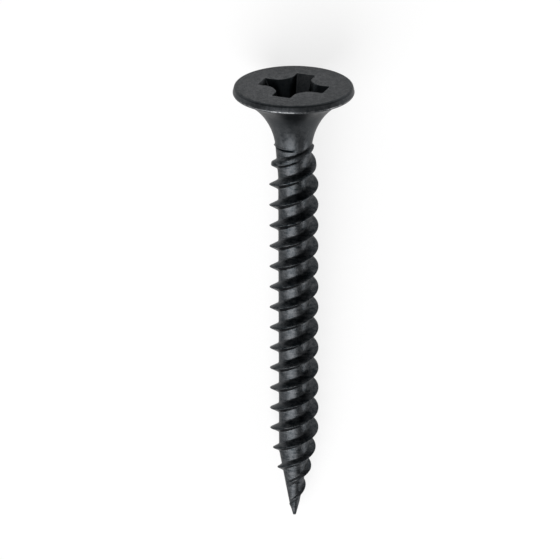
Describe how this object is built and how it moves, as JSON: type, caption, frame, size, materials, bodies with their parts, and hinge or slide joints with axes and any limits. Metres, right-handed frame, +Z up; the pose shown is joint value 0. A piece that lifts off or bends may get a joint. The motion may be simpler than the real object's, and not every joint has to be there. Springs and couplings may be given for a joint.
{
  "type": "drywall screw",
  "caption": "Fine-thread drywall screw: bugle head with a cross recess, plain neck, two-start right-hand thread and a sharp point, in black phosphate.",
  "frame": {"origin": "on the surface that the screw lies on, under the middle of its bounding box", "axes": "+Z up, +Y along the screw from its head to its point as seen from above, +X across it; the axis dips 5.6 degrees towards the point, because the screw lies on the rim of its head and on one crest of its thread"},
  "size_m": [0.0082, 0.032, 0.0082],
  "materials": {
    "phosphated_steel": "black phosphate, satin, with a fine grain"
  },
  "bodies": {
    "root": {"drywall_screw": "phosphated_steel"}
  },
  "joints": []
}
